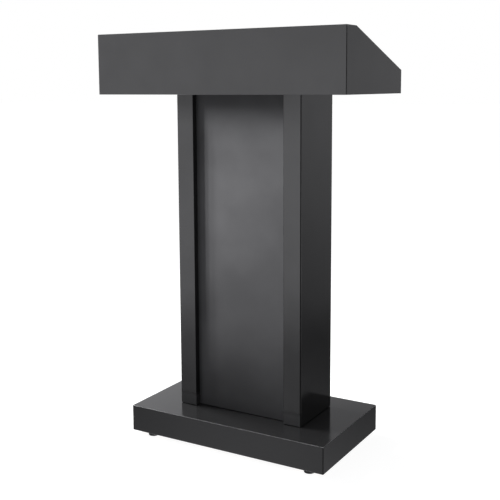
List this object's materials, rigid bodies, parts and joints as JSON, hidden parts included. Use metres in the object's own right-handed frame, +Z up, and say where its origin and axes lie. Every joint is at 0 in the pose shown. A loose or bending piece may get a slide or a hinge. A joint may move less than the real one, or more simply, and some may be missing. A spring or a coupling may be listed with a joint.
{
  "type": "presentation lectern",
  "caption": "Floor lectern: sloped reading desk in a deep fascia box, on a column with proud stiles, open back and shelf, on a low plinth with levelling feet.",
  "frame": {"origin": "on the floor, under the middle of the lectern's bounding box", "axes": "+Z up; -Y towards the audience, +Y towards the presenter; +X to the audience's right"},
  "size_m": [0.755, 0.384, 1.153],
  "materials": {
    "black_laminate": "satin black laminate wrapped round board",
    "raw_board": "unfinished particle board",
    "zinc_steel": "bright zinc plate",
    "nickel": "nickel plate",
    "beech": "fluted beech",
    "black_plastic": "moulded, finely textured"
  },
  "bodies": {
    "lectern": {"desk_fascia": "black_laminate", "desk_side_left": "black_laminate", "desk_side_right": "black_laminate", "desk_ledge": "black_laminate", "desk_reading_board": "black_laminate", "desk_rear_rail": "black_laminate", "desk_bottom_board": "black_laminate", "column_side_left": "black_laminate", "column_side_right": "black_laminate", "column_stile_left": "black_laminate", "column_stile_right": "black_laminate", "column_front_panel": "black_laminate", "column_top_board": "black_laminate", "column_bottom_board": "black_laminate", "plinth_top_board": "black_laminate", "plinth_apron_front": "black_laminate", "plinth_apron_left": "black_laminate", "plinth_apron_rear": "black_laminate", "plinth_apron_right": "black_laminate", "desk_battens": "raw_board", "plinth_corner_blocks": "raw_board", "plinth_stretchers": "raw_board", "batten_screws": "zinc_steel", "reading_board_screws": "zinc_steel", "stile_screws": "zinc_steel", "corner_block_screws": "zinc_steel", "desk_cam_locks": "zinc_steel", "desk_cam_bolts": "zinc_steel", "column_cam_locks": "zinc_steel", "column_cam_bolts": "zinc_steel", "desk_bolts": "zinc_steel", "plinth_bolts": "zinc_steel", "desk_bolt_washers": "zinc_steel", "plinth_bolt_washers": "zinc_steel", "desk_inserts": "zinc_steel", "column_inserts": "zinc_steel", "foot_nuts": "zinc_steel", "desk_dowels": "beech", "column_dowels": "beech", "shelf_supports": "nickel"},
    "shelf": {"shelf": "black_laminate"},
    "pad_front_left": {"foot_pad_front_left": "black_plastic"},
    "stud_front_left": {"foot_stud_front_left": "zinc_steel"},
    "pad_front_right": {"foot_pad_front_right": "black_plastic"},
    "stud_front_right": {"foot_stud_front_right": "zinc_steel"},
    "pad_rear_left": {"foot_pad_rear_left": "black_plastic"},
    "stud_rear_left": {"foot_stud_rear_left": "zinc_steel"},
    "pad_rear_right": {"foot_pad_rear_right": "black_plastic"},
    "stud_rear_right": {"foot_stud_rear_right": "zinc_steel"}
  },
  "joints": [
    {"name": "shelf_pull", "type": "slide", "parent": "lectern", "child": "shelf", "axis": [0, 1, 0], "range_m": [0, 0.2]},
    {"name": "level_front_left", "type": "slide", "parent": "lectern", "child": "pad_front_left", "axis": [0, 0, -1], "range_m": [0, 0.008]},
    {"name": "spin_front_left", "type": "hinge", "parent": "pad_front_left", "child": "stud_front_left", "pos_m": [-0.254, -0.133, 0.0064], "axis": [0, 0, -1], "range_deg": [0, 2300]},
    {"name": "level_front_right", "type": "slide", "parent": "lectern", "child": "pad_front_right", "axis": [0, 0, -1], "range_m": [0, 0.008]},
    {"name": "spin_front_right", "type": "hinge", "parent": "pad_front_right", "child": "stud_front_right", "pos_m": [0.254, -0.133, 0.0064], "axis": [0, 0, -1], "range_deg": [0, 2300]},
    {"name": "level_rear_left", "type": "slide", "parent": "lectern", "child": "pad_rear_left", "axis": [0, 0, -1], "range_m": [0, 0.008]},
    {"name": "spin_rear_left", "type": "hinge", "parent": "pad_rear_left", "child": "stud_rear_left", "pos_m": [-0.254, 0.163, 0.0064], "axis": [0, 0, -1], "range_deg": [0, 2300]},
    {"name": "level_rear_right", "type": "slide", "parent": "lectern", "child": "pad_rear_right", "axis": [0, 0, -1], "range_m": [0, 0.008]},
    {"name": "spin_rear_right", "type": "hinge", "parent": "pad_rear_right", "child": "stud_rear_right", "pos_m": [0.254, 0.163, 0.0064], "axis": [0, 0, -1], "range_deg": [0, 2300]}
  ],
  "couplings": [
    {"joint": "level_front_left", "follows": "spin_front_left", "m_per_rad": 0.00019894},
    {"joint": "level_front_right", "follows": "spin_front_right", "m_per_rad": 0.00019894},
    {"joint": "level_rear_left", "follows": "spin_rear_left", "m_per_rad": 0.00019894},
    {"joint": "level_rear_right", "follows": "spin_rear_right", "m_per_rad": 0.00019894}
  ]
}
